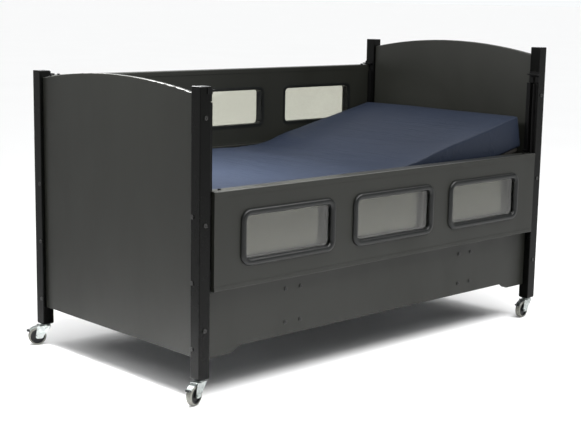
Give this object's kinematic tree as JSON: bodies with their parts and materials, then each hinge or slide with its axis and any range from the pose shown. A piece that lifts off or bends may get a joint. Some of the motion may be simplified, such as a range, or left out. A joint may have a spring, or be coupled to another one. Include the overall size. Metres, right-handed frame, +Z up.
{
  "type": "adjustable safety bed",
  "caption": "Enclosed adjustable care bed: closed end boards, sliding side rails with windows, lifting and folding four-section deck, mattress and braked casters.",
  "frame": {"origin": "on the floor under the middle of the whole bed, halfway between the outermost points along and across", "axes": "+X to the head end, -Y to the near side whose rail is lowered, +Z up"},
  "size_m": [2.1018, 1.122, 1.278],
  "materials": {
    "black_board": "satin black lacquer on smooth board",
    "window_trim": "semi-matt black moulded plastic",
    "clear_pane": "clear acrylic sheet, faint grey tint",
    "black_metal": "black powder coat",
    "frame_steel": "grey powder coat",
    "deck_board": "clear-sealed plywood",
    "column_alloy": "anodised extrusion",
    "mattress_cover": "navy coated stretch fabric",
    "actuator_case": "grained black plastic",
    "actuator_rod": "drawn steel tube",
    "zinc_steel": "bright zinc plate",
    "wheel_core": "black nylon",
    "tyre": "light grey thermoplastic rubber",
    "guide_shoe": "black acetal"
  },
  "bodies": {
    "bed_frame": {"foot_post_front": "black_board", "foot_post_back": "black_board", "head_post_front": "black_board", "head_post_back": "black_board", "footboard": "black_board", "headboard": "black_board", "side_panel_front": "black_board", "side_panel_back": "black_board", "rail_tracks": "black_metal", "rail_catches": "black_metal", "frame_bolts": "black_metal", "base_beams": "frame_steel", "lift_columns": "column_alloy", "caster_stems": "zinc_steel"},
    "front_rail": {"front_rail_panel": "black_board", "front_rail_caps": "black_board", "front_window_frames": "window_trim", "front_window_panes": "clear_pane", "front_rail_runners": "guide_shoe"},
    "back_rail": {"back_rail_panel": "black_board", "back_rail_caps": "black_board", "back_window_frames": "window_trim", "back_window_panes": "clear_pane", "back_rail_runners": "guide_shoe"},
    "front_latch_head": {"front_latch_head": "black_metal"},
    "front_latch_foot": {"front_latch_foot": "black_metal"},
    "back_latch_head": {"back_latch_head": "black_metal"},
    "back_latch_foot": {"back_latch_foot": "black_metal"},
    "lift_frame": {"deck_frame": "frame_steel", "lift_rams": "column_alloy", "seat_deck": "deck_board", "mattress_seat": "mattress_cover"},
    "back_section": {"back_deck": "deck_board", "mattress_back": "mattress_cover"},
    "thigh_section": {"thigh_deck": "deck_board", "mattress_thigh": "mattress_cover"},
    "calf_section": {"calf_deck": "deck_board", "mattress_calf": "mattress_cover"},
    "back_actuator": {"back_actuator_body": "actuator_case"},
    "back_ram": {"back_actuator_rod": "actuator_rod"},
    "knee_actuator": {"knee_actuator_body": "actuator_case"},
    "knee_ram": {"knee_actuator_rod": "actuator_rod"},
    "caster_foot_front": {"caster_yoke_foot_front": "zinc_steel"},
    "wheel_foot_front": {"caster_core_foot_front": "wheel_core", "caster_tyre_foot_front": "tyre"},
    "brake_foot_front": {"brake_pedal_foot_front": "zinc_steel"},
    "caster_foot_back": {"caster_yoke_foot_back": "zinc_steel"},
    "wheel_foot_back": {"caster_core_foot_back": "wheel_core", "caster_tyre_foot_back": "tyre"},
    "brake_foot_back": {"brake_pedal_foot_back": "zinc_steel"},
    "caster_head_front": {"caster_yoke_head_front": "zinc_steel"},
    "wheel_head_front": {"caster_core_head_front": "wheel_core", "caster_tyre_head_front": "tyre"},
    "brake_head_front": {"brake_pedal_head_front": "zinc_steel"},
    "caster_head_back": {"caster_yoke_head_back": "zinc_steel"},
    "wheel_head_back": {"caster_core_head_back": "wheel_core", "caster_tyre_head_back": "tyre"},
    "brake_head_back": {"brake_pedal_head_back": "zinc_steel"}
  },
  "joints": [
    {"name": "front_rail_slide", "type": "slide", "parent": "bed_frame", "child": "front_rail", "axis": [0, 0, 1], "range_m": [0, 0.355]},
    {"name": "back_rail_slide", "type": "slide", "parent": "bed_frame", "child": "back_rail", "axis": [0, 0, 1], "range_m": [-0.355, 0]},
    {"name": "front_latch_head_slide", "type": "slide", "parent": "front_rail", "child": "front_latch_head", "axis": [1, 0, 0], "range_m": [-0.01, 0], "stiffness_N_per_m": 300, "springref_m": 0.004},
    {"name": "front_latch_foot_slide", "type": "slide", "parent": "front_rail", "child": "front_latch_foot", "axis": [-1, 0, 0], "range_m": [-0.01, 0], "stiffness_N_per_m": 300, "springref_m": 0.004},
    {"name": "back_latch_head_slide", "type": "slide", "parent": "back_rail", "child": "back_latch_head", "axis": [1, 0, 0], "range_m": [-0.01, 0], "stiffness_N_per_m": 300, "springref_m": 0.004},
    {"name": "back_latch_foot_slide", "type": "slide", "parent": "back_rail", "child": "back_latch_foot", "axis": [-1, 0, 0], "range_m": [-0.01, 0], "stiffness_N_per_m": 300, "springref_m": 0.004},
    {"name": "deck_lift", "type": "slide", "parent": "bed_frame", "child": "lift_frame", "axis": [0, 0, 1], "range_m": [-0.17, 0]},
    {"name": "backrest_hinge", "type": "hinge", "parent": "lift_frame", "child": "back_section", "pos_m": [0.17472, 0, 0.6215], "axis": [0, -1, 0], "range_deg": [-12.5, 47.5]},
    {"name": "thigh_hinge", "type": "hinge", "parent": "lift_frame", "child": "thigh_section", "pos_m": [-0.14528, 0, 0.6215], "axis": [0, 1, 0], "range_deg": [0, 25]},
    {"name": "knee_hinge", "type": "hinge", "parent": "thigh_section", "child": "calf_section", "pos_m": [-0.49528, 0, 0.6215], "axis": [0, -1, 0], "range_deg": [0, 44.5]},
    {"name": "back_actuator_pivot", "type": "hinge", "parent": "lift_frame", "child": "back_actuator", "pos_m": [-0.11528, 0.09, 0.5065], "axis": [0, -1, 0], "range_deg": [-1.5, 5.5]},
    {"name": "back_actuator_stroke", "type": "slide", "parent": "back_actuator", "child": "back_ram", "axis": [0.9925, 0, 0.1223], "range_m": [-0.0155, 0.058]},
    {"name": "knee_actuator_pivot", "type": "hinge", "parent": "lift_frame", "child": "knee_actuator", "pos_m": [0.08472, -0.09, 0.5065], "axis": [0, 1, 0], "range_deg": [-0.1, 5]},
    {"name": "knee_actuator_stroke", "type": "slide", "parent": "knee_actuator", "child": "knee_ram", "axis": [-0.9986, 0, 0.0535], "range_m": [-0.0005, 0.0418]},
    {"name": "swivel_foot_front", "type": "hinge", "parent": "bed_frame", "child": "caster_foot_front", "pos_m": [-0.97278, -0.5145, 0.085], "axis": [0, 0, 1], "continuous": true},
    {"name": "wheel_spin_foot_front", "type": "hinge", "parent": "caster_foot_front", "child": "wheel_foot_front", "pos_m": [-1.00738, -0.52442, 0.0375], "axis": [-0.2756, 0.9613, 0], "continuous": true},
    {"name": "brake_pedal_foot_front", "type": "hinge", "parent": "caster_foot_front", "child": "brake_foot_front", "pos_m": [-1.00162, -0.52277, 0.08], "axis": [-0.2756, 0.9613, 0], "range_deg": [0, 12]},
    {"name": "swivel_foot_back", "type": "hinge", "parent": "bed_frame", "child": "caster_foot_back", "pos_m": [-0.97278, 0.5145, 0.085], "axis": [0, 0, 1], "continuous": true},
    {"name": "wheel_spin_foot_back", "type": "hinge", "parent": "caster_foot_back", "child": "wheel_foot_back", "pos_m": [-1.00616, 0.52799, 0.0375], "axis": [0.3746, 0.9272, 0], "continuous": true},
    {"name": "brake_pedal_foot_back", "type": "hinge", "parent": "caster_foot_back", "child": "brake_foot_back", "pos_m": [-1.0006, 0.52574, 0.08], "axis": [0.3746, 0.9272, 0], "range_deg": [0, 12]},
    {"name": "swivel_head_front", "type": "hinge", "parent": "bed_frame", "child": "caster_head_front", "pos_m": [1.02222, -0.5145, 0.085], "axis": [0, 0, 1], "continuous": true},
    {"name": "wheel_spin_head_front", "type": "hinge", "parent": "caster_head_front", "child": "wheel_head_front", "pos_m": [0.98631, -0.51701, 0.0375], "axis": [-0.0698, 0.9976, 0], "continuous": true},
    {"name": "brake_pedal_head_front", "type": "hinge", "parent": "caster_head_front", "child": "brake_head_front", "pos_m": [0.99229, -0.51659, 0.08], "axis": [-0.0698, 0.9976, 0], "range_deg": [0, 12]},
    {"name": "swivel_head_back", "type": "hinge", "parent": "bed_frame", "child": "caster_head_back", "pos_m": [1.02222, 0.5145, 0.085], "axis": [0, 0, 1], "continuous": true},
    {"name": "wheel_spin_head_back", "type": "hinge", "parent": "caster_head_back", "child": "wheel_head_back", "pos_m": [0.98657, 0.51951, 0.0375], "axis": [0.1392, 0.9903, 0], "continuous": true},
    {"name": "brake_pedal_head_back", "type": "hinge", "parent": "caster_head_back", "child": "brake_head_back", "pos_m": [0.99251, 0.51867, 0.08], "axis": [0.1392, 0.9903, 0], "range_deg": [0, 12]}
  ],
  "couplings": [
    {"joint": "knee_hinge", "follows": "thigh_hinge", "ratio": 1.77},
    {"joint": "back_actuator_pivot", "follows": "backrest_hinge", "ratio": 0.1095},
    {"joint": "back_actuator_stroke", "follows": "backrest_hinge", "m_per_rad": 0.069517},
    {"joint": "knee_actuator_pivot", "follows": "thigh_hinge", "ratio": 0.1951},
    {"joint": "knee_actuator_stroke", "follows": "thigh_hinge", "m_per_rad": 0.094956}
  ]
}
